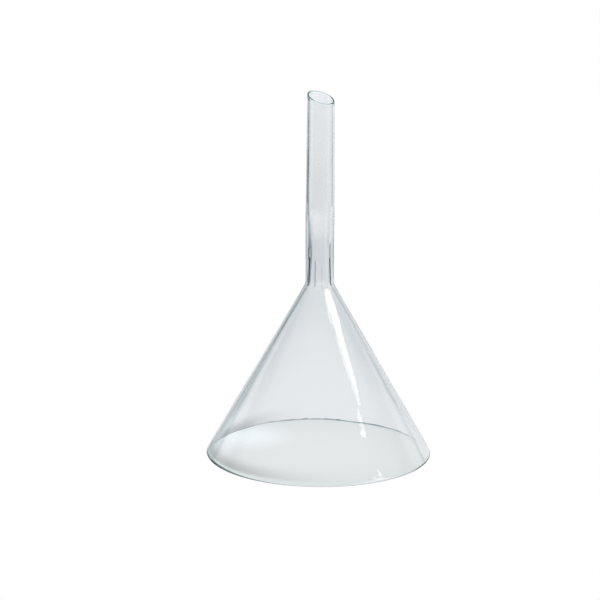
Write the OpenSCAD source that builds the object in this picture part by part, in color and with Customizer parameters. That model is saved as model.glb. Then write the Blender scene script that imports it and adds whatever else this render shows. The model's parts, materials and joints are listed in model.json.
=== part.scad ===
// Conical glass laboratory funnel, drawn as one piece of glass and standing on its mouth.
// The wall is one turned profile: rim, cone, neck, throat and stem. The tip is cut on the slant.

/* [Mouth] */
// Outside diameter across the widest part of the rim
mouth_d = 200; // [150:1:260]
// Wall of the cone at the mouth, square to the glass
mouth_wall = 2.6; // [1.8:0.1:4]
// Radius of the two fire-polished edges of the rim
rim_round = 1; // [0.3:0.1:1.2]

/* [Cone] */
// Full angle of the cone
cone_angle = 60; // [50:1:70]
// Wall of the cone where it runs into the neck, square to the glass
neck_wall = 3.2; // [2.2:0.1:5]

/* [Neck] */
// Radius of the outside blend from the cone to the stem
neck_blend = 10; // [4:1:25]
// Radius of the inside blend from the cone to the bore of the neck
bore_blend = 14; // [3:1:30]
// Bore of the neck where the cone runs into it
neck_bore_d = 18.5; // [18:0.5:21]
// Length over which that bore narrows to the throat
neck_taper = 24; // [8:1:40]
// Bore of the throat, the narrowest place in the funnel
throat_d = 16.5; // [12:0.5:18]
// Length of the straight throat
throat_length = 8; // [4:1:40]

/* [Stem] */
// Outside diameter of the straight part of the stem
stem_d = 25; // [23:0.5:32]
// Length of the straight part, from the corner of the neck
stem_straight = 58; // [30:1:100]
// Length of the whole stem, from the corner of the neck to the middle of the tip
stem_length = 162.5; // [130:0.5:220]
// Length over which the bore opens out above the throat
flare_length = 43; // [15:1:60]

/* [Tip] */
// Outside diameter of the drawn-down stem at the tip
tip_d = 23.5; // [20:0.1:25]
// Wall of the stem at the tip
tip_wall = 1.5; // [1:0.1:2.5]
// Slant of the tip, measured from a square cut
tip_slant = 24; // [0:1:45]
// Way that the low side of the tip faces, turned from the X axis
tip_turn = -53; // [-180:1:180]
// Radius of the fire-polished crown across the end of the wall
tip_crown = 1.2; // [1:0.1:3]

/* [Hidden] */
$fn = 128;

// Chords to each rounded stretch of the profile
arc_steps = 10;
// The crown is at least this share of the wall, so that it spans the wall's end
least_crown = 0.55;
// How far the cutter stands clear of the glass
clear = 3;

mouth_r = mouth_d / 2;
stem_r = stem_d / 2;
neck_bore_r = neck_bore_d / 2;
throat_r = throat_d / 2;
tip_r = tip_d / 2;
stem_bore_r = tip_r - tip_wall;

// A sloping face is the line where point * normal(lean) equals the face's offset.
function normal(lean) = [cos(lean), sin(lean)];

// Outside of the cone, tangent to the outer edge of the rim
outer_lean = cone_angle / 2;
rim_centre = [mouth_r - rim_round, rim_round];
outer_offset = rim_centre * normal(outer_lean) + rim_round;
cone_foot = rim_centre + rim_round * normal(outer_lean);
neck_z = (outer_offset - stem_r * cos(outer_lean)) / sin(outer_lean);
cone_top = [stem_r, neck_z];

// Inside of the cone, through the two wall thicknesses
wall_gain = atan2(neck_wall - mouth_wall, norm(cone_top - cone_foot));
inner_lean = outer_lean + wall_gain;
inner_foot = cone_foot - mouth_wall * normal(outer_lean);
inner_offset = inner_foot * normal(inner_lean);
inner_rim_r = (inner_offset + rim_round - rim_round * sin(inner_lean)) / cos(inner_lean);

// Bore of the neck, from the inside of the cone up to the throat
neck_bore_z = (inner_offset - neck_bore_r * cos(inner_lean)) / sin(inner_lean);
throat_foot = [throat_r, neck_bore_z + neck_taper];
taper_lean = atan2(neck_bore_r - throat_r, neck_taper);
taper_offset = throat_foot * normal(taper_lean);

// Centre of a blend that touches two faces, each given by its offset and its lean
function blend_centre(blend, offset_a, lean_a, offset_b, lean_b) =
    let (a = offset_a + blend, b = offset_b + blend)
    [b * sin(lean_a) - a * sin(lean_b), a * cos(lean_b) - b * cos(lean_a)] / sin(lean_a - lean_b);
neck_centre = blend_centre(neck_blend, outer_offset, outer_lean, stem_r, 0);
bore_centre = blend_centre(bore_blend, inner_offset, inner_lean, taper_offset, taper_lean);

// Heights up the stem
straight_top = neck_z + stem_straight;
throat_top = throat_foot.y + throat_length;
flare_top = throat_top + flare_length;
tip_z = neck_z + stem_length;
blank_top = tip_z + tip_r * tan(tip_slant) + clear;

// Outside radius of the stem at a height: straight, then drawn down evenly to the tip
draw = (stem_r - tip_r) / (tip_z - straight_top);
function stem_outside(z) = stem_r - draw * max(0, z - straight_top);

function arc(centre, radius, from, to) =
    [for (i = [0:arc_steps]) centre + radius * normal(from + (to - from) * i / arc_steps)];

// The bore opens from the throat to the straight bore of the stem on a smooth S
function flare() =
    [for (i = [1:arc_steps])
        let (t = i / arc_steps, swell = (1 - cos(180 * t)) / 2)
        [throat_r + (stem_bore_r - throat_r) * swell, throat_top + flare_length * t]];

// Section of the wall, outside going up and bore coming down
module wall_section() {
    outside = concat(
        arc(rim_centre, rim_round, -90, outer_lean),
        arc(neck_centre, neck_blend, 180 + outer_lean, 180),
        [[stem_r, straight_top], [stem_outside(blank_top), blank_top]]);
    inside = concat(
        arc([inner_rim_r, rim_round], rim_round, 270, 180 + inner_lean),
        arc(bore_centre, bore_blend, 180 + inner_lean, 180 + taper_lean),
        [throat_foot, [throat_r, throat_top]],
        flare(),
        [[stem_bore_r, blank_top]]);
    polygon(concat(outside, [for (i = [len(inside) - 1:-1:0]) inside[i]]));
}

// Removes the blank above the tip: a turned cutter with a hollow that leaves the crown,
// sheared along the stem so that the crown runs round on the slant.
module tip_cutter() {
    crown = max(tip_crown, least_crown * tip_wall);
    fall = tan(tip_slant);
    multmatrix([
        [1, 0, 0, 0],
        [0, 1, 0, 0],
        [-fall * cos(tip_turn), -fall * sin(tip_turn), 1, tip_z],
        [0, 0, 0, 1]])
    rotate_extrude()
    difference() {
        translate([0, -crown])
            square([tip_r + clear, crown + 2 * (blank_top - tip_z)]);
        translate([tip_r - tip_wall / 2, -crown])
            circle(crown);
    }
}

module funnel() {
    color([0.84, 0.91, 0.9, 0.4])
    difference() {
        rotate_extrude()
            wall_section();
        tip_cutter();
    }
}

funnel();
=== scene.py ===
"""Looks for a conical glass laboratory funnel that stands upside down on its mouth."""
import json
from math import atan, cos, hypot, pi, radians, sin, tan

import bmesh
import bpy
from mathutils import Matrix, Vector
from mathutils.bvhtree import BVHTree
from mathutils.interpolate import poly_3d_calc


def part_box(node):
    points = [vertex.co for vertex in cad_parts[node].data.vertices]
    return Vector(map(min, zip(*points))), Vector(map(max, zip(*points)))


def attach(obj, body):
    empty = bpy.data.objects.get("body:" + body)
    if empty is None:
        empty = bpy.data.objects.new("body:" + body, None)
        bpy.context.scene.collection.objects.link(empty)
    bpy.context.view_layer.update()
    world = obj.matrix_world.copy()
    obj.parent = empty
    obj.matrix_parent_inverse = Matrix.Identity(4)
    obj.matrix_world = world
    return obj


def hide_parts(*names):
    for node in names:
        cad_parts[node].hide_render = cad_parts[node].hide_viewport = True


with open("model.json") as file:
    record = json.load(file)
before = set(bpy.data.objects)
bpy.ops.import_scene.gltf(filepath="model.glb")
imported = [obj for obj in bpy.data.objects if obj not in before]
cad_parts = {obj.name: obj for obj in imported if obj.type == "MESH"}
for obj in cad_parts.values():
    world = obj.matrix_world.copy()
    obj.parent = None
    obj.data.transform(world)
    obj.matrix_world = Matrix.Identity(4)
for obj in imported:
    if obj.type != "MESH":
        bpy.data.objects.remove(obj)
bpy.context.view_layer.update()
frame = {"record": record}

# Sizes of the glass, in metres and radians. Those that the frame holds are read from it.
MM = 0.001
mounts = {mount["name"]: mount for mount in frame["record"]["mounts"]}
high_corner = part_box("funnel")[1]
MOUTH_R = high_corner.x
TOP_Z = high_corner.z
STEM_R = mounts["stem_seat"]["dims"]["r_mm"] * MM
THROAT_R = mounts["throat_bore"]["dims"]["r_mm"] * MM
THROAT_LENGTH = mounts["throat_bore"]["dims"]["length_mm"] * MM
CONE_LEAN = radians(30)
MOUTH_WALL = 2.6 * MM
NECK_WALL = 3.2 * MM
RIM_ROUND = 1.0 * MM
NECK_BLEND = 10 * MM
BORE_BLEND = 14 * MM
NECK_BORE_R = 9.25 * MM
NECK_TAPER = 24 * MM
THROAT_EASE = 100 * MM
STEM_STRAIGHT = 58 * MM
FLARE_LENGTH = 43 * MM
FLARE_EASE = 8 * MM
FLARE_BLEND = 210 * MM
DRAW_BLEND = 300 * MM
TIP_R = 11.75 * MM
TIP_WALL = 1.5 * MM
TIP_ROUND = 0.72 * MM
TIP_SLANT = radians(24)
TIP_TURN = radians(-53)
TIP_Z = TOP_Z - (TIP_R - TIP_WALL / 2) * tan(TIP_SLANT)

WHITE = (1, 1, 1, 1)
BLACK = (0, 0, 0, 1)


def wall_section():
    """Corners of the wall's section as (radius, height, rounding), up the outside and down the bore."""
    outer_offset = (MOUTH_R - RIM_ROUND) * cos(CONE_LEAN) + RIM_ROUND * sin(CONE_LEAN) + RIM_ROUND
    neck_z = (outer_offset - STEM_R * cos(CONE_LEAN)) / sin(CONE_LEAN)
    outer_rim = outer_offset / cos(CONE_LEAN)
    slope_length = hypot(outer_rim - STEM_R, neck_z)
    inner_lean = CONE_LEAN + atan((NECK_WALL - MOUTH_WALL) / slope_length)
    inner_offset = (outer_offset - MOUTH_WALL) / cos(CONE_LEAN) * cos(inner_lean)
    neck_bore_z = (inner_offset - NECK_BORE_R * cos(inner_lean)) / sin(inner_lean)
    throat_foot = neck_bore_z + NECK_TAPER
    throat_top = throat_foot + THROAT_LENGTH
    straight_z = neck_z + STEM_STRAIGHT
    flare_z = throat_top + FLARE_LENGTH
    return [
        (outer_rim, 0, RIM_ROUND),
        (STEM_R, neck_z, NECK_BLEND),
        (STEM_R, straight_z, DRAW_BLEND),
        (TIP_R, TIP_Z, TIP_ROUND),
        (TIP_R - TIP_WALL, TIP_Z, TIP_ROUND),
        (TIP_R - TIP_WALL, flare_z - FLARE_EASE, FLARE_BLEND),
        (THROAT_R, throat_top + FLARE_EASE, FLARE_BLEND),
        (THROAT_R, throat_foot, THROAT_EASE),
        (NECK_BORE_R, neck_bore_z, BORE_BLEND),
        (inner_offset / cos(inner_lean), 0, RIM_ROUND),
    ]


class Tree:
    """Short calls for adding and joining nodes in a node tree."""

    def __init__(self, tree):
        self.tree = tree

    def node(self, kind, inputs=(), **settings):
        made = self.tree.nodes.new(kind)
        for name, value in settings.items():
            setattr(made, name, value)
        for name, value in dict(inputs).items():
            self.feed(made.inputs[name], value)
        return made

    def feed(self, socket, value):
        if isinstance(value, bpy.types.NodeSocket):
            self.tree.links.new(value, socket)
        else:
            socket.default_value = value

    def math(self, operation, *values):
        made = self.node("ShaderNodeMath", operation=operation)
        for socket, value in zip(made.inputs, values):
            self.feed(socket, value)
        return made.outputs[0]

    def product(self, first, *others):
        """All the values, multiplied."""
        result = first
        for value in others:
            result = self.math("MULTIPLY", result, value)
        return result

    def ease(self, value, low, high):
        """0 at low, 1 at high, smooth between them and level beyond them."""
        made = self.node(
            "ShaderNodeMapRange",
            {"Value": value, "From Min": low, "From Max": high},
            interpolation_type="SMOOTHSTEP",
        )
        return made.outputs[0]

    def noise(self, place, scale, detail):
        made = self.node("ShaderNodeTexNoise", {"Vector": place, "Scale": scale, "Detail": detail})
        return made.outputs[0]

    def blend(self, share, first, second, blend_type="MIX"):
        """One colour laid over another by a share. The numbers are those of the node's colour sockets."""
        colours = {0: share, 6: first, 7: second}
        made = self.node("ShaderNodeMix", colours, data_type="RGBA", blend_type=blend_type)
        return made.outputs[2]

    def xyz(self, x, y, z):
        return self.node("ShaderNodeCombineXYZ", {"X": x, "Y": y, "Z": z}).outputs[0]

    def split(self, vector):
        return self.node("ShaderNodeSeparateXYZ", {"Vector": vector}).outputs

    def round_axis(self, radius, angle, height):
        """The place at a radius and an angle round Z."""
        x = self.math("MULTIPLY", radius, self.math("COSINE", angle))
        y = self.math("MULTIPLY", radius, self.math("SINE", angle))
        return self.xyz(x, y, height)

    def reach(self, x, y):
        """Distance from Z."""
        return self.math("SQRT", self.math("ADD", self.product(x, x), self.product(y, y)))

    def along(self, x, y, turn):
        """Distance from Z on the side that faces a turn from X."""
        return self.math("ADD", self.product(x, cos(turn)), self.product(y, sin(turn)))

    def aside(self, turn, centre):
        """Degrees between two turns, the short way round."""
        gap = self.math("SUBTRACT", turn, centre)
        return self.math("ABSOLUTE", self.math("WRAP", gap, 180.0, -180.0))


def placed(name, data):
    """A new object in the scene, at the origin."""
    made = bpy.data.objects.new(name, data)
    bpy.context.scene.collection.objects.link(made)
    return made


def blank_material(name):
    """A new material, and its empty node tree."""
    material = bpy.data.materials.new(name)
    material.use_nodes = True
    material.node_tree.nodes.clear()
    return material, Tree(material.node_tree)


# The turned glass
TURN_INPUTS = {
    "Sides": ("NodeSocketInt", 256),
    "Arc Steps": ("NodeSocketInt", 10),
    "Row Height": ("NodeSocketFloat", 4 * MM),
    "Tip Slope": ("NodeSocketFloat", tan(TIP_SLANT)),
    "Tip Turn": ("NodeSocketFloat", TIP_TURN),
    "Slant Foot": ("NodeSocketFloat", 0.0),
    "Slant Head": ("NodeSocketFloat", 0.0),
    "Wave Depth": ("NodeSocketFloat", 0.25 * MM),
    "Wave Scale": ("NodeSocketFloat", 26.0),
    "Wave Seed": ("NodeSocketFloat", 4.0),
    "Still Rim": ("NodeSocketFloat", 45 * MM),
}
SLANT_RUN = 60 * MM
SLANT_LEVEL = 6 * MM
SIDE_DRIFT = 0.4
WELD = 0.001 * MM


def rounded_section(t, given):
    """The wall's section with its corners rounded, and with rows added along its straight runs."""
    rounding = t.node("GeometryNodeInputNamedAttribute", {"Name": "rounding"}, data_type="FLOAT").outputs[0]
    curve = t.node("GeometryNodeMeshToCurve", {"Mesh": given["Section"]}).outputs[0]
    filleted = t.node(
        "GeometryNodeFilletCurve",
        {"Curve": curve, "Count": given["Arc Steps"], "Radius": rounding, "Limit Radius": True},
        mode="POLY",
    ).outputs[0]
    place = t.node("GeometryNodeInputPosition").outputs[0]
    index = t.node("GeometryNodeInputIndex").outputs[0]
    after = t.node("GeometryNodeOffsetPointInCurve", {"Point Index": index, "Offset": 1})
    ahead = t.node(
        "GeometryNodeFieldAtIndex",
        {"Value": place, "Index": after.outputs["Point Index"]},
        data_type="FLOAT_VECTOR",
        domain="POINT",
    ).outputs[0]
    gap = t.node("ShaderNodeVectorMath", {0: place, 1: ahead}, operation="DISTANCE").outputs["Value"]
    cuts = t.math("FLOOR", t.math("DIVIDE", gap, given["Row Height"]))
    dense = t.node("GeometryNodeSubdivideCurve", {"Curve": filleted, "Cuts": cuts}).outputs[0]
    return t.node("GeometryNodeCurveToMesh", {"Curve": dense}).outputs[0]


def uneven_radius(t, given, radius, angle, height, share):
    """The radius with hand-worked unevenness, which differs between the two faces of the wall."""
    drift = t.math("MULTIPLY", share, SIDE_DRIFT)
    noise = t.node(
        "ShaderNodeTexNoise",
        {
            "Vector": t.round_axis(radius, angle, height),
            "W": t.math("ADD", drift, given["Wave Seed"]),
            "Scale": given["Wave Scale"],
            "Detail": 1.0,
        },
        noise_dimensions="4D",
    ).outputs[0]
    depth = t.math("MULTIPLY", given["Wave Depth"], t.ease(height, 0.0, given["Still Rim"]))
    return t.math("ADD", radius, t.math("MULTIPLY", t.math("SUBTRACT", noise, 0.5), depth))


def slanted_height(t, given, radius, angle, height):
    """The height with the rows slid along the stem, more and more towards the slanted tip."""
    facing = t.math("COSINE", t.math("SUBTRACT", angle, given["Tip Turn"]))
    fall = t.product(radius, facing, given["Tip Slope"])
    share = t.ease(height, given["Slant Foot"], given["Slant Head"])
    return t.math("SUBTRACT", height, t.math("MULTIPLY", fall, share))


def turning_tree(material):
    """Geometry nodes that round a wall section's corners, turn it round Z and slant its tip."""
    group = bpy.data.node_groups.new("turn_glass", "GeometryNodeTree")
    face = group.interface
    face.new_socket("Section", in_out="INPUT", socket_type="NodeSocketGeometry")
    for name, (kind, value) in TURN_INPUTS.items():
        face.new_socket(name, in_out="INPUT", socket_type=kind).default_value = value
    face.new_socket("Glass", in_out="OUTPUT", socket_type="NodeSocketGeometry")
    t = Tree(group)
    given = t.node("NodeGroupInput").outputs

    # A grid with a row for each point of the section and a column for each side, both closed on themselves
    section = rounded_section(t, given)
    rows = t.node("GeometryNodeAttributeDomainSize", {"Geometry": section}).outputs["Point Count"]
    columns = t.math("ADD", given["Sides"], 1)
    grid = t.node("GeometryNodeMeshGrid", {"Vertices X": t.math("ADD", rows, 1), "Vertices Y": columns})
    index = t.node("GeometryNodeInputIndex").outputs[0]
    row = t.math("FLOOR", t.math("DIVIDE", t.math("ADD", index, 0.5), columns))
    column = t.math("SUBTRACT", index, t.math("MULTIPLY", row, columns))

    # Where each point of the grid belongs
    angle = t.math("MULTIPLY", t.math("DIVIDE", column, given["Sides"]), 2 * pi)
    point = t.math("MODULO", row, rows)
    place = t.node("GeometryNodeInputPosition").outputs[0]
    sampled = t.node(
        "GeometryNodeSampleIndex",
        {"Geometry": section, "Value": place, "Index": point},
        data_type="FLOAT_VECTOR",
        domain="POINT",
    ).outputs[0]
    radius, _, height = t.split(sampled)
    uneven = uneven_radius(t, given, radius, angle, height, t.math("DIVIDE", point, rows))
    turned = t.round_axis(uneven, angle, slanted_height(t, given, radius, angle, height))

    # The grid is brought there, closed and glazed
    moved = {"Geometry": grid.outputs["Mesh"], "Position": turned}
    shaped = t.node("GeometryNodeSetPosition", moved).outputs[0]
    closed = t.node("GeometryNodeMergeByDistance", {"Geometry": shaped, "Distance": WELD}).outputs[0]
    smooth = t.node("GeometryNodeSetShadeSmooth", {"Geometry": closed}).outputs[0]
    real = t.node("GeometryNodeRealizeInstances", {"Geometry": smooth}).outputs[0]
    glazed = t.node("GeometryNodeSetMaterial", {"Geometry": real, "Material": material}).outputs[0]
    t.node("NodeGroupOutput", {"Glass": glazed})
    return group


def turned_glass(material):
    """The whole funnel as one closed mesh of glass."""
    corners = wall_section()
    count = len(corners)
    mesh = bpy.data.meshes.new("wall_section")
    points = [(radius, 0, height) for radius, height, _ in corners]
    mesh.from_pydata(points, [(i, (i + 1) % count) for i in range(count)], [])
    rounding = mesh.attributes.new("rounding", "FLOAT", "POINT")
    rounding.data.foreach_set("value", [corner[2] for corner in corners])
    blank = placed("wall_section", mesh)
    modifier = blank.modifiers.new("turn_glass", "NODES")
    modifier.node_group = turning_tree(material)
    sizes = {"Slant Foot": TIP_Z - SLANT_RUN, "Slant Head": TIP_Z - SLANT_LEVEL}
    for socket in modifier.node_group.interface.items_tree:
        if socket.name in sizes:
            modifier[socket.identifier] = sizes[socket.name]
    graph = bpy.context.evaluated_depsgraph_get()
    made = bpy.data.meshes.new_from_object(blank.evaluated_get(graph), depsgraph=graph)
    made.name = "funnel_glass"
    bpy.data.objects.remove(blank)
    point_faces_outwards(made)
    return placed("funnel_glass", made)


def point_faces_outwards(mesh):
    work = bmesh.new()
    work.from_mesh(mesh)
    if work.calc_volume(signed=True) < 0:
        bmesh.ops.reverse_faces(work, faces=work.faces)
    work.to_mesh(mesh)
    work.free()


# Clear glass
GLASS_IOR = 1.49
GLASS_TINT = (0.45, 0.53, 0.56, 1)
GLASS_DENSITY = 50.0
SOFT_PASS = (0.985, 0.99, 0.99, 1)
# Painted shade colour of the dark teal line along the rim and of the lines in the neck's bore
PAINTED_EDGE_SHADE = (0.012, 0.07, 0.065, 1)
# Painted shade colour of the grey crescents over the rim
PAINTED_CRESCENT_SHADE = (0.035, 0.04, 0.045, 1)

# Smudges: the part of the noise that shows, and how rough they get
SMUDGE_SCALE = 18.0
SMUDGE_FROM = 0.52
SMUDGE_TO = 0.75
SMUDGE_ROUGH = 0.02

# Relief: fine lines drawn along the glass, and rings and ripples on the cone that calm down towards the rim
RELIEF_DEPTH = 0.01 * MM
LINES_STRETCH = (1, 1, 0.03)
LINES_SCALE = 260.0
LINES_SHARE = 0.3
RINGS_STRETCH = (0.2, 0.2, 1)
RINGS_SCALE = 130.0
RINGS_SHARE = 4.0
RIPPLES_SCALE = 120.0
RIPPLES_SHARE = 2.0
WORKED_HEAD = 150 * MM
WORKED_TOP = 120 * MM
WORKED_FOOT = 85 * MM
CALM_BELOW = 40 * MM

# Painted shade round the rim. A turn is taken from X. A fade is a power, and a higher one makes a shorter
# shade.
OUTER_SKIN = 0.8 * MM
SWELL_SCALE = 120.0
FRONT_TURN = radians(215)
BEHIND_TURN = radians(65)

# Painted shade in a dark teal line along the edge of the rim: thick at the left, and uneven behind
LINE_HEIGHT = 0.6 * MM
LINE_EDGE = 0.5 * MM
LINE_DEPTH = 0.15
THICK_HEIGHT = 2.2 * MM
THICK_TURN = radians(200)
THICK_FADE = 10.0
FRONT_DEPTH = 0.82
FRONT_FADE = 1.5
BEHIND_DEPTH = 0.8
BEHIND_FADE = 4.0
BEHIND_HEIGHT = 0.5 * MM
BEHIND_SWELL = 1.4 * MM
SWELL_FROM = 0.3
SWELL_TO = 0.7

# Painted shade in two grey crescents over that line, one in front and one at the rear
FRONT_FOOT = 2.5 * MM
FRONT_FULL = 5 * MM
FRONT_HEAD = 15 * MM
FRONT_CRESCENT_DEPTH = 0.6
FRONT_CRESCENT_FADE = 8.0
REAR_TURN = radians(152)
REAR_FULL = 4 * MM
REAR_HEAD = 16 * MM
REAR_SWELL = 6 * MM
REAR_CRESCENT_DEPTH = 0.9
REAR_CRESCENT_FADE = 15.0

# Lip of the tip, measured down from its crown: rougher, and with a teal glow of painted light
LIP_FOOT = 1.2 * MM
LIP_FULL = 0.6 * MM
LIP_ROUGH = 0.3
LIP_PAINTED_LIGHT = (0.08, 0.125, 0.125, 1)

# Lines of painted shade in the bore of the neck: turn from -Y towards +X and half width in degrees, foot,
# head and depth
THROAT_SHADE_LINES = [
    (-23, 4, 150 * MM, 178 * MM, 1.0),
    (12.5, 2.5, 142 * MM, 172 * MM, 0.6),
    (100, 3, 152 * MM, 176 * MM, 0.6),
    (-105, 3.5, 152 * MM, 178 * MM, 0.8),
]
FOOT_FADE = 4 * MM
HEAD_FADE = 6 * MM
SWAY = 3.0
SWAY_SCALE = 60.0
BORE_SIDE = 10.4 * MM
WALL_SIDE = 10.9 * MM


def smudges(t, place):
    """Roughness of the polished glass, which is 0 between faint smudges."""
    made = t.node(
        "ShaderNodeMapRange",
        {
            "Value": t.noise(place, SMUDGE_SCALE, 4.0),
            "From Min": SMUDGE_FROM,
            "From Max": SMUDGE_TO,
            "To Min": 0.0,
            "To Max": SMUDGE_ROUGH,
        },
    )
    return made.outputs[0]


def relief(t, place):
    """Normals of the glass, bumped by lines along it and by rings and ripples on the cone."""
    z = t.split(place)[2]
    drawn = t.node("ShaderNodeMapping", {"Vector": place, "Scale": LINES_STRETCH}).outputs[0]
    ringed = t.node("ShaderNodeMapping", {"Vector": place, "Scale": RINGS_STRETCH}).outputs[0]
    lines = t.math("MULTIPLY", t.noise(drawn, LINES_SCALE, 1.0), LINES_SHARE)
    rings = t.math("MULTIPLY", t.noise(ringed, RINGS_SCALE, 2.0), RINGS_SHARE)
    ripples = t.math("MULTIPLY", t.noise(place, RIPPLES_SCALE, 1.0), RIPPLES_SHARE)
    on_cone = t.product(t.ease(z, WORKED_HEAD, WORKED_TOP), t.ease(z, CALM_BELOW, WORKED_FOOT))
    worked = t.math("MULTIPLY", t.math("ADD", rings, ripples), on_cone)
    height = t.math("ADD", lines, worked)
    bump = t.node("ShaderNodeBump", {"Strength": 1.0, "Distance": RELIEF_DEPTH, "Height": height})
    return bump.outputs[0]


def towards(t, x, y, turn, fade=1.0):
    """1 on the side that faces a turn, falling to 0 on the far side."""
    share = t.math("DIVIDE", t.along(x, y, turn), t.reach(x, y))
    return t.math("POWER", t.math("MULTIPLY_ADD", share, 0.5, 0.5), fade)


def outer_face(t, x, y, z):
    """1 on the outer face of the cone and 0 on the inner one."""
    at_foot = t.math("MULTIPLY_ADD", z, tan(CONE_LEAN), t.reach(x, y))
    return t.ease(at_foot, MOUTH_R - 2 * OUTER_SKIN, MOUTH_R - OUTER_SKIN)


def swelling(t, x, y):
    """Gentle noise round the rim, from 0 to 1, that makes the painted shade uneven."""
    return t.noise(t.xyz(x, y, 0.0), SWELL_SCALE, 1.0)


def rim_line_shade(t, place):
    """How much a dark line of painted shade along the edge of the rim darkens the outer face."""
    x, y, z = t.split(place)
    thick = towards(t, x, y, THICK_TURN, THICK_FADE)
    height = t.math("MULTIPLY_ADD", thick, THICK_HEIGHT, LINE_HEIGHT)
    swell = t.ease(swelling(t, x, y), SWELL_FROM, SWELL_TO)
    uneven = t.math("MULTIPLY_ADD", swell, BEHIND_SWELL, BEHIND_HEIGHT)
    height = t.math("MULTIPLY_ADD", uneven, towards(t, x, y, BEHIND_TURN), height)
    front = towards(t, x, y, FRONT_TURN, FRONT_FADE)
    behind = towards(t, x, y, BEHIND_TURN, BEHIND_FADE)
    depth = t.math("MULTIPLY_ADD", front, FRONT_DEPTH, LINE_DEPTH)
    depth = t.math("MULTIPLY_ADD", behind, BEHIND_DEPTH, depth)
    line = t.ease(z, height, t.math("SUBTRACT", height, LINE_EDGE))
    return t.product(line, depth, outer_face(t, x, y, z))


def rim_crescent_shade(t, place):
    """How much two soft crescents of painted shade over the rim darken the outer face."""
    x, y, z = t.split(place)
    band = t.product(t.ease(z, FRONT_HEAD, FRONT_FULL), t.ease(z, FRONT_FOOT, FRONT_FULL))
    front = t.product(band, towards(t, x, y, FRONT_TURN, FRONT_CRESCENT_FADE), FRONT_CRESCENT_DEPTH)
    head = t.math("MULTIPLY_ADD", swelling(t, x, y), REAR_SWELL, REAR_HEAD)
    rear = t.product(t.ease(z, head, REAR_FULL), towards(t, x, y, REAR_TURN, REAR_CRESCENT_FADE), REAR_CRESCENT_DEPTH)
    return t.product(t.math("MAXIMUM", front, rear), outer_face(t, x, y, z))


def tip_lip(t, place):
    """1 on the rounded lip of the slanted tip and 0 below it."""
    x, y, z = t.split(place)
    level = t.math("MULTIPLY_ADD", t.along(x, y, TIP_TURN), tan(TIP_SLANT), z)
    return t.ease(level, TIP_Z - LIP_FOOT, TIP_Z - LIP_FULL)


def throat_line_shade(t, place):
    """How much painted shade darkens the bore of the neck along fine dark lines."""
    x, y, z = t.split(place)
    turn = t.math("DEGREES", t.math("ARCTAN2", x, t.math("MULTIPLY", y, -1.0)))
    turn = t.math("MULTIPLY_ADD", t.noise(place, SWAY_SCALE, 0.0), SWAY, turn)
    dark = 0.0
    for centre, half, foot, head, depth in THROAT_SHADE_LINES:
        across = t.ease(t.aside(turn, centre), half, 0.0)
        above = t.ease(z, foot, foot + FOOT_FADE)
        below = t.ease(z, head, head - HEAD_FADE)
        dark = t.math("MAXIMUM", t.product(across, above, below, depth), dark)
    return t.math("MULTIPLY", dark, t.ease(t.reach(x, y), WALL_SIDE, BORE_SIDE))


def clear_glass():
    """Polished glass with drawn lines along it, faint smudges and a green tint where it is thick, with
    painted shade at the rim and in the neck's bore and painted light on the tip's lip.
    """
    material, t = blank_material("clear_glass")
    place = t.node("ShaderNodeTexCoord").outputs["Object"]
    lip = tip_lip(t, place)
    # Painted shade: two grey crescents over the rim, in the glass's colour
    crescent_shaded = t.blend(rim_crescent_shade(t, place), WHITE, PAINTED_CRESCENT_SHADE)
    # Painted shade: dark teal lines along the edge of the rim and in the neck's bore, in the glass's colour
    painted_edges = t.math("MAXIMUM", rim_line_shade(t, place), throat_line_shade(t, place))
    glass = t.node(
        "ShaderNodeBsdfPrincipled",
        {
            "Base Color": t.blend(painted_edges, crescent_shaded, PAINTED_EDGE_SHADE),
            "Roughness": t.math("MAXIMUM", smudges(t, place), t.math("MULTIPLY", lip, LIP_ROUGH)),
            "IOR": GLASS_IOR,
            "Transmission Weight": 1.0,
            "Normal": relief(t, place),
            # Painted light: the lip of the tip glows teal, though it is no lamp
            "Emission Color": t.blend(lip, BLACK, LIP_PAINTED_LIGHT),
            "Emission Strength": 1.0,
        },
    ).outputs[0]
    path = t.node("ShaderNodeLightPath").outputs
    soft_light = t.math("MAXIMUM", path["Is Shadow Ray"], path["Is Diffuse Ray"])
    clear = t.node("ShaderNodeBsdfTransparent", {"Color": SOFT_PASS}).outputs[0]
    surface = t.node("ShaderNodeMixShader", {0: soft_light, 1: glass, 2: clear}).outputs[0]
    tint = t.node("ShaderNodeVolumeAbsorption", {"Color": GLASS_TINT, "Density": GLASS_DENSITY}).outputs[0]
    t.node("ShaderNodeOutputMaterial", {"Surface": surface, "Volume": tint})
    return material


# White disc under the mouth, with a painted pool of light on it at the back left
FLOOR_R = 98.5 * MM
FLOOR_SIDES = 96
FLOOR_DROP = 0.1 * MM
FLOOR_WHITE = (0.98, 0.98, 0.98, 1)
PAINTED_POOL = (0.17, 0.2, 0.22, 1)
PAINTED_POOL_AT = (-70 * MM, 45 * MM, 0)
PAINTED_POOL_R = 58 * MM


def white_floor():
    """White paper with a painted pool of light, a faint glow at the back left."""
    material, t = blank_material("white_floor")
    paper = t.node("ShaderNodeBsdfDiffuse", {"Color": FLOOR_WHITE}).outputs[0]
    place = t.node("ShaderNodeTexCoord").outputs["Object"]
    away = t.node("ShaderNodeVectorMath", {0: place, 1: PAINTED_POOL_AT}, operation="DISTANCE")
    glow = t.ease(away.outputs["Value"], PAINTED_POOL_R, 0.0)
    # Painted light: the paper glows in a pool at the back left, though it is no lamp
    painted_pool = t.node("ShaderNodeEmission", {"Color": PAINTED_POOL, "Strength": glow}).outputs[0]
    lit = t.node("ShaderNodeAddShader", {0: paper, 1: painted_pool}).outputs[0]
    t.node("ShaderNodeOutputMaterial", {"Surface": lit})
    return material


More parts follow.
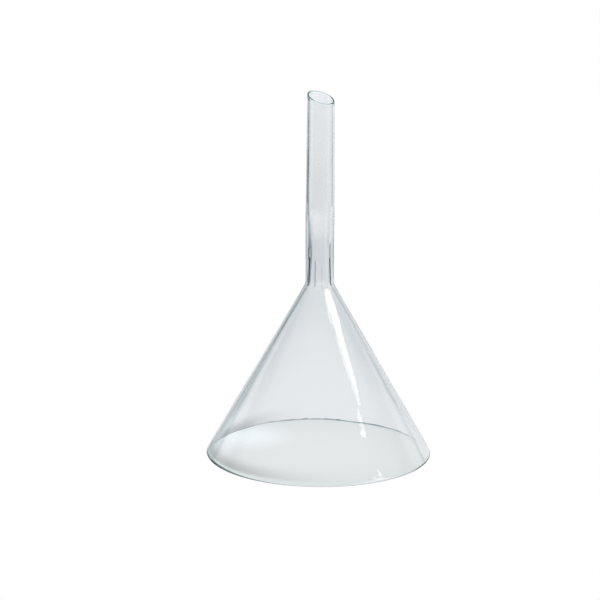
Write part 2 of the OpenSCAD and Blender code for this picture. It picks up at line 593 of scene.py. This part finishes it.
def floor():
    """The disc that the funnel stands on."""
    mesh = bpy.data.meshes.new("floor")
    work = bmesh.new()
    bmesh.ops.create_circle(work, cap_ends=True, radius=FLOOR_R, segments=FLOOR_SIDES)
    work.to_mesh(mesh)
    work.free()
    mesh.materials.append(white_floor())
    disc = placed("floor", mesh)
    disc.location.z = -FLOOR_DROP


# White tent that the glass shows, and the dark flags in it. A flag has a compass angle from +Y towards -X,
# a half width and its softness, a lower and an upper edge over the horizon and their softness, in degrees,
# and a depth, which is below 0 for a bright panel. The tent turns teal where it is dark.
TENT = (0.985, 0.985, 1.0, 1)
RED_LOSS = 1.17
BLUE_GAIN = 0.95
FLAGS = [
    # All round: over the horizon, just under it, and overhead
    (0, 180, 1, -4, 90, 10, 0.07),
    (0, 180, 1, -11, -9, 4, 0.1),
    (0, 180, 1, 28, 90, 10, 0.4),
    # Straight behind the glass
    (0, 25, 15, -3, 3, 2.5, 0.1),
    # Left of the glass
    (46, 16, 16, -15, 5, 5, 0.35),
    (53, 11, 8, -19, -11, 2, 0.45),
    (32, 8, 6, -10, -7.5, 1.5, 0.55),
    (61, 10, 8, -7.5, -3, 1.5, 0.97),
    (55, 9, 6, -2, 4.5, 2, 0.85),
    (37, 6, 7, 5, 12, 3, 0.45),
    (82, 12, 8, -15, -11.5, 1.5, 0.8),
    (66, 11, 10, 18, 30, 4, 0.6),
    # Right of the glass
    (-61, 10, 5, -7.5, -3, 1.5, 0.9),
    (-55, 8, 5, -2, 4.5, 2, 0.9),
    (-38, 5, 7, 5, 11, 3, 0.34),
    (-28, 12, 8, -10, 8, 3, -0.08),
    (-56, 9, 7, -12, -9, 1.5, 0.4),
    (-66, 11, 14, 18, 30, 6, 0.55),
    # For other sides of the funnel
    (135, 22, 3, -17, 18, 3, 0.85),
    (182, 20, 3, -17, 18, 3, 0.5),
    (269, 18, 3, -24, -11.5, 2, 0.85),
    (89, 20, 3, -45, -19, 3, 0.8),
    (1, 20, 3, -45, -23, 3, 0.8),
]


def tent_level(t, way):
    """How bright the tent is in a direction."""
    x, y, z = t.split(way)
    compass = t.math("DEGREES", t.math("ARCTAN2", t.math("MULTIPLY", x, -1.0), y))
    height = t.math("DEGREES", t.math("ARCSINE", z))
    level = 1.0
    for centre, half, side_soft, low, high, edge_soft, depth in FLAGS:
        across = t.ease(t.aside(compass, centre), half + side_soft, half)
        above = t.ease(height, low - edge_soft, low)
        below = t.ease(height, high + edge_soft, high)
        dark = t.product(across, above, below, depth)
        level = t.math("MULTIPLY", level, t.math("SUBTRACT", 1.0, dark))
    return level


def surround():
    """White for the camera and for soft light, and for the glass a pale tent with dark flags in it."""
    world = bpy.data.worlds.new("light_tent")
    bpy.context.scene.world = world
    world.use_nodes = True
    world.cycles.sampling_method = "NONE"
    world.node_tree.nodes.clear()
    t = Tree(world.node_tree)
    level = tent_level(t, t.node("ShaderNodeTexCoord").outputs["Generated"])
    red, blue = t.math("POWER", level, RED_LOSS), t.math("POWER", level, BLUE_GAIN)
    shade = t.node("ShaderNodeCombineColor", {"Red": red, "Green": level, "Blue": blue}).outputs[0]
    cloth = t.blend(1.0, TENT, shade, blend_type="MULTIPLY")
    tent = t.node("ShaderNodeBackground", {"Color": cloth}).outputs[0]
    white = t.node("ShaderNodeBackground", {"Color": WHITE}).outputs[0]
    path = t.node("ShaderNodeLightPath").outputs
    through = t.math("MAXIMUM", path["Is Glossy Ray"], path["Is Transmission Ray"])
    mixed = t.node("ShaderNodeMixShader", {0: through, 1: white, 2: tent}).outputs[0]
    t.node("ShaderNodeOutputWorld", {"Surface": mixed})


# Camera, fitted to the photograph
PICTURE_PX = 600
FOCAL_PX = 1559.2
SENSOR = 36.0
CAMERA_DISTANCE = 1.369
CAMERA_DOWN = radians(12.188)
CAMERA_ROLL = radians(0.268)
CAMERA_AIM = Vector((-0.01707, 0, 0.1382))


def camera():
    """The camera in front, looking down at the funnel."""
    data = bpy.data.cameras.new("camera")
    data.sensor_width = SENSOR
    data.lens = FOCAL_PX * SENSOR / PICTURE_PX
    eye = placed("camera", data)
    back = Vector((0, -cos(CAMERA_DOWN), sin(CAMERA_DOWN)))
    turned = Matrix.Rotation(pi / 2 - CAMERA_DOWN, 4, "X") @ Matrix.Rotation(CAMERA_ROLL, 4, "Z")
    eye.matrix_world = Matrix.Translation(CAMERA_AIM + CAMERA_DISTANCE * back) @ turned
    bpy.context.scene.camera = eye
    return eye


# Soft box at the front right, in three panels. The glass mirrors their corners at these spots of the picture,
# in pixels from its top left: down the right edge of the streak and up its left edge, round the patch below
# the streak, and round the glint at the rim. The streak's panel ends in a head above all that the cone
# mirrors, with a compass angle from -Y towards +X and a height, in degrees.
STREAK_SPOTS = [
    (332.2, 295), (344.3, 341), (354.3, 375), (357, 387), (360, 399),
    (358, 399), (354.2, 387), (350.7, 375), (338.4, 337), (328.3, 307), (325.3, 295),
]
STREAK_HEAD = [(48, 50), (70, 44), (93, 38)]
PATCH_SPOTS = [
    (357.7, 411), (359.2, 411), (361.5, 418), (366.8, 436),
    (365.7, 436.5), (363, 433.5), (360.3, 427.5), (357.8, 419.5),
]
GLINT_SPOTS = [(377.6, 468), (380.6, 472), (382.3, 476), (378.4, 476.5), (377.7, 472)]
SOFTBOX_REACH = 12.0
SOFTBOX_LEVEL = 5.0


def softbox_cloth():
    material, t = blank_material("softbox_cloth")
    glow = t.node("ShaderNodeEmission", {"Color": WHITE, "Strength": SOFTBOX_LEVEL}).outputs[0]
    t.node("ShaderNodeOutputMaterial", {"Surface": glow})
    return material


def mirrored_corner(glass, skin, eye, spot):
    """The place in the soft box that the camera sees mirrored in the glass at a spot of the picture."""
    across, down = spot
    middle = PICTURE_PX / 2
    look = eye.matrix_world.to_3x3() @ Vector((across - middle, middle - down, -FOCAL_PX))
    look.normalize()
    place, _, index, _ = skin.ray_cast(eye.matrix_world.translation, look)
    points = [glass.vertices[vertex] for vertex in glass.polygons[index].vertices]
    shares = poly_3d_calc([point.co for point in points], place)
    normal = sum((share * point.normal for share, point in zip(shares, points)), Vector())
    return place + SOFTBOX_REACH * look.reflect(normal)


def head_corner(compass, height):
    """The place in the soft box that lies in a direction from the middle of the mouth."""
    turn, rise = radians(compass), radians(height)
    return SOFTBOX_REACH * Vector((sin(turn) * cos(rise), -cos(turn) * cos(rise), sin(rise)))


def softbox(glass, eye):
    """The lamp that draws the bright streak down the cone. Only glass shows it."""
    points = [point.co for point in glass.vertices]
    skin = BVHTree.FromPolygons(points, [face.vertices for face in glass.polygons])
    corners, panels = [], []
    for spots, head in ((STREAK_SPOTS, STREAK_HEAD), (PATCH_SPOTS, []), (GLINT_SPOTS, [])):
        first = len(corners)
        corners += [mirrored_corner(glass, skin, eye, spot) for spot in spots]
        corners += [head_corner(*way) for way in head]
        panels.append(range(first, len(corners)))
    mesh = bpy.data.meshes.new("softbox")
    mesh.from_pydata(corners, [], panels)
    mesh.materials.append(softbox_cloth())
    box = placed("softbox", mesh)
    box.visible_camera = False
    box.visible_diffuse = False
    box.visible_shadow = False


bpy.context.scene.view_settings.view_transform = "Standard"
funnel = turned_glass(clear_glass())
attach(funnel, "root")
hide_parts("funnel")
floor()
surround()
eye = camera()
softbox(funnel.data, eye)
